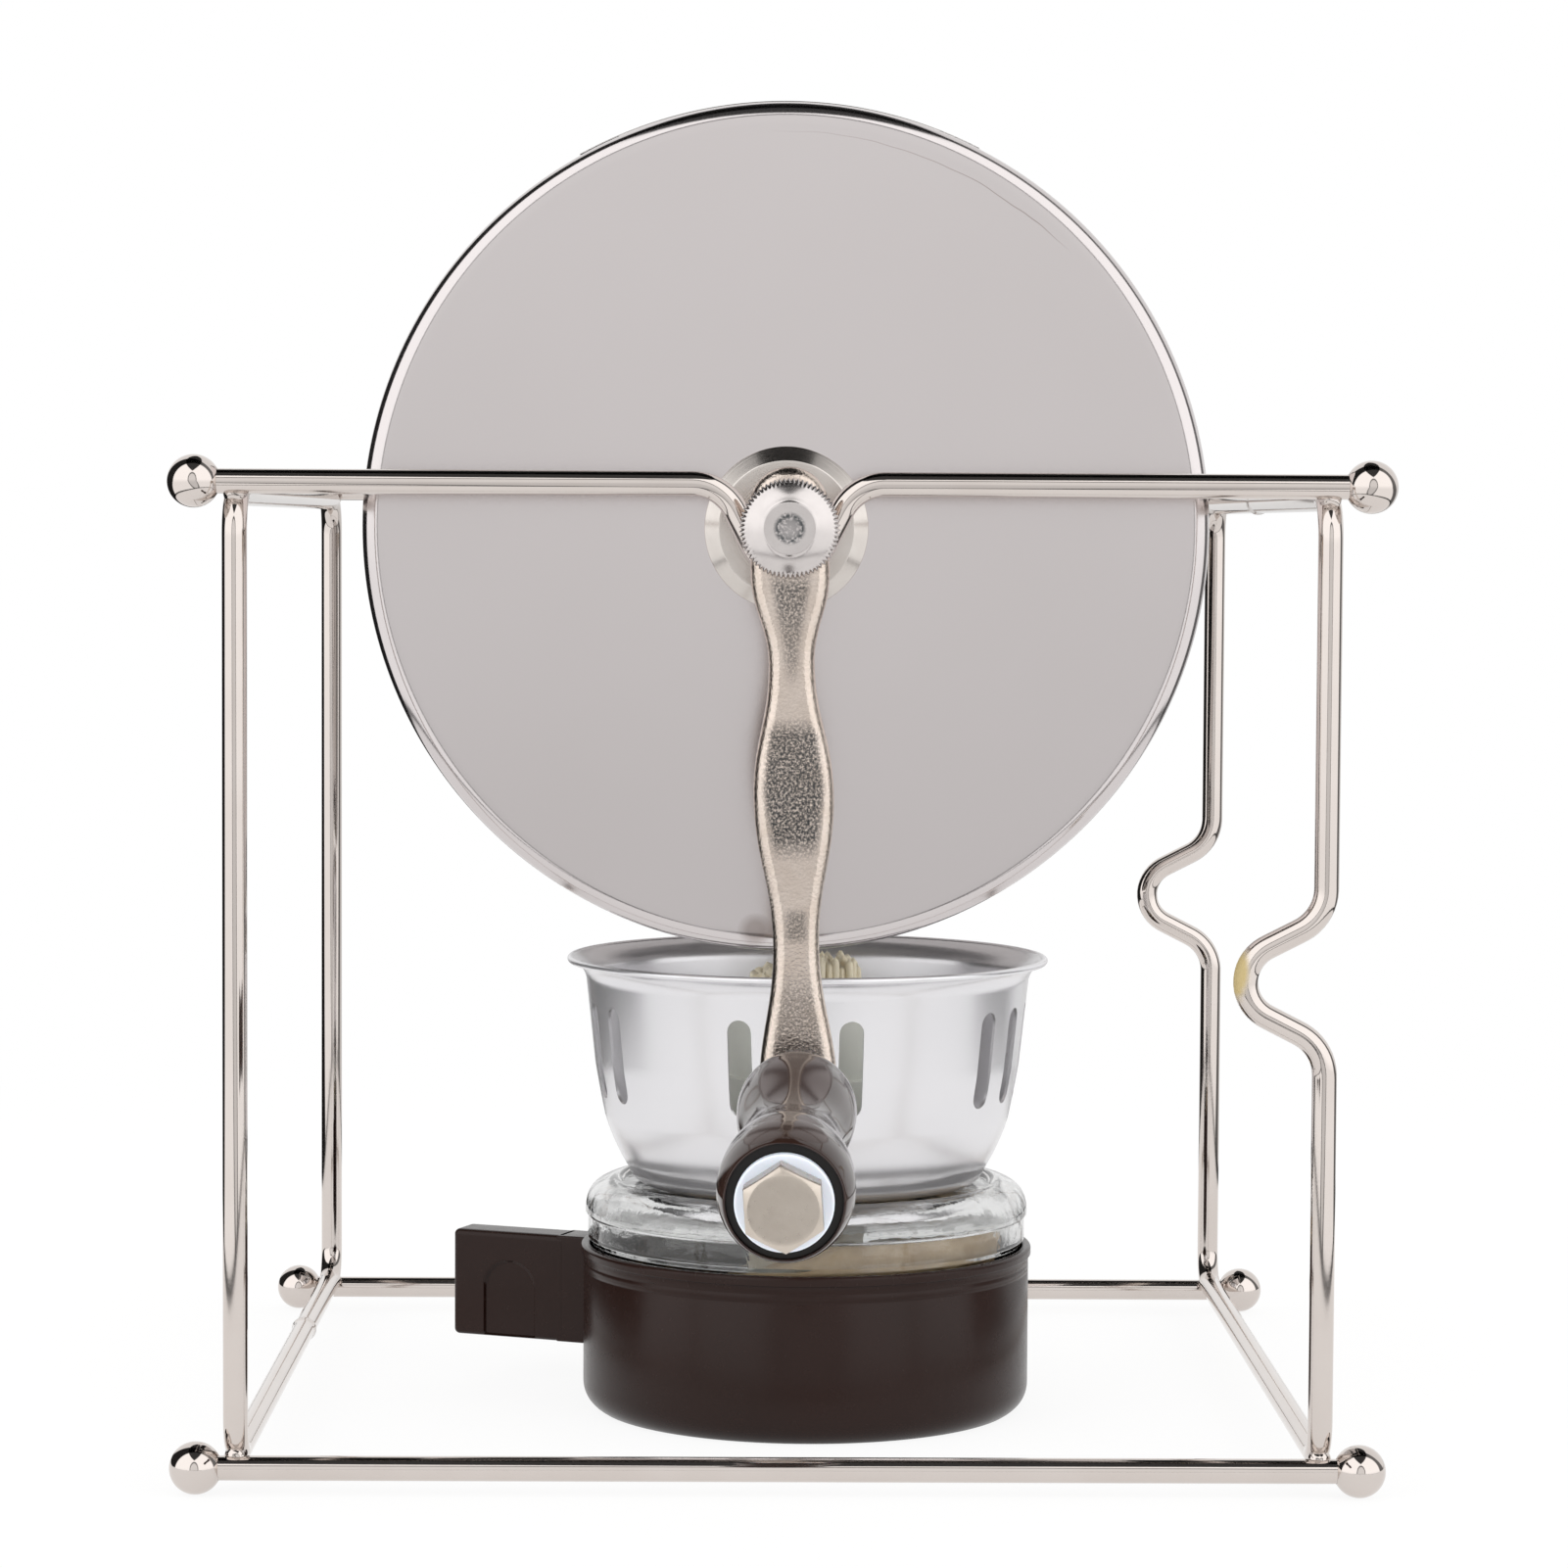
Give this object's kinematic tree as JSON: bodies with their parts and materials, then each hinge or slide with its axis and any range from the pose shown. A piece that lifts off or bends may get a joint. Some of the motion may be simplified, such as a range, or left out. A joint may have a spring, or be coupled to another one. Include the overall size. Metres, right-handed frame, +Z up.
{
  "type": "hand-cranked coffee roaster",
  "caption": "Hand-cranked drum coffee roaster: a wire stand with saddles for the drum's axle, over a spirit burner with a slotted windshield.",
  "frame": {"origin": "middle of the burner's base, on the table top", "axes": "+Z up; +Y away from the user along the drum's axle, with the crank on the -Y side; +X to the right"},
  "size_m": [0.2301, 0.3202, 0.2686],
  "materials": {
    "stand_wire": "polished stainless wire",
    "bush_brass": "turned",
    "drum_steel": "polished sheet",
    "axle_steel": "bright drawn",
    "cast_arm": "cast and plated, pebbled",
    "bolt_steel": "satin",
    "nylon": "moulded",
    "grip_plastic": "polished moulded",
    "cup_plastic": "gloss moulded",
    "tank_glass": "clear pressed",
    "spun_aluminium": "spun, satin",
    "wick_cotton": "twisted cotton"
  },
  "bodies": {
    "frame": {"left_side_loop": "stand_wire", "right_side_loop": "stand_wire", "front_top_rod": "stand_wire", "rear_top_rod": "stand_wire", "front_bottom_rod": "stand_wire", "rear_bottom_rod": "stand_wire", "front_top_balls": "stand_wire", "front_bottom_balls": "stand_wire", "rear_bottom_balls": "stand_wire", "weld_beads": "stand_wire"},
    "saddle_bushes": {"front_saddle_bush": "bush_brass", "rear_saddle_bush": "bush_brass"},
    "drum": {"drum_shell": "drum_steel", "front_cover": "drum_steel", "rear_cover": "drum_steel", "front_hub_flange": "drum_steel", "rear_hub_flange": "drum_steel", "stirring_vanes": "drum_steel", "hatch_rails": "drum_steel", "axle": "axle_steel", "front_spacer_tube": "axle_steel", "rear_spacer_tube": "axle_steel", "front_spacer_ring": "axle_steel", "rear_spacer_ring": "axle_steel", "front_axle_cap": "axle_steel", "rear_axle_cap": "axle_steel", "crank_arm": "cast_arm", "knob_bolt": "bolt_steel", "rear_knob_washer": "nylon", "front_knob_washer": "nylon"},
    "hatch": {"hatch_plate": "drum_steel", "hatch_pull": "drum_steel"},
    "knob": {"knob_grip": "grip_plastic"},
    "burner": {"burner_cup": "cup_plastic", "fuel_tank": "tank_glass", "wick_holder": "spun_aluminium", "wick": "wick_cotton", "wick_coil": "wick_cotton"},
    "windshield": {"windshield": "spun_aluminium"}
  },
  "joints": [
    {"name": "drum_lift", "type": "slide", "parent": "frame", "child": "saddle_bushes", "axis": [0, 0, 1], "range_m": [0, 0.1]},
    {"name": "drum_spin", "type": "hinge", "parent": "saddle_bushes", "child": "drum", "pos_m": [-0.0055, -0.092, 0.1827], "axis": [0, 1, 0], "continuous": true},
    {"name": "hatch_slide", "type": "slide", "parent": "drum", "child": "hatch", "axis": [0, 1, 0], "range_m": [0, 0.048]},
    {"name": "knob_spin", "type": "hinge", "parent": "drum", "child": "knob", "pos_m": [-0.0032, -0.1055, 0.07743], "axis": [-0.0418, -0.996, -0.0794], "continuous": true},
    {"name": "burner_slide", "type": "slide", "parent": "frame", "child": "burner", "axis": [1, 0, 0], "range_m": [-0.025, 0.025]},
    {"name": "windshield_turn", "type": "hinge", "parent": "burner", "child": "windshield", "pos_m": [0, 0, 0.0469], "axis": [0, 0, 1], "continuous": true}
  ]
}
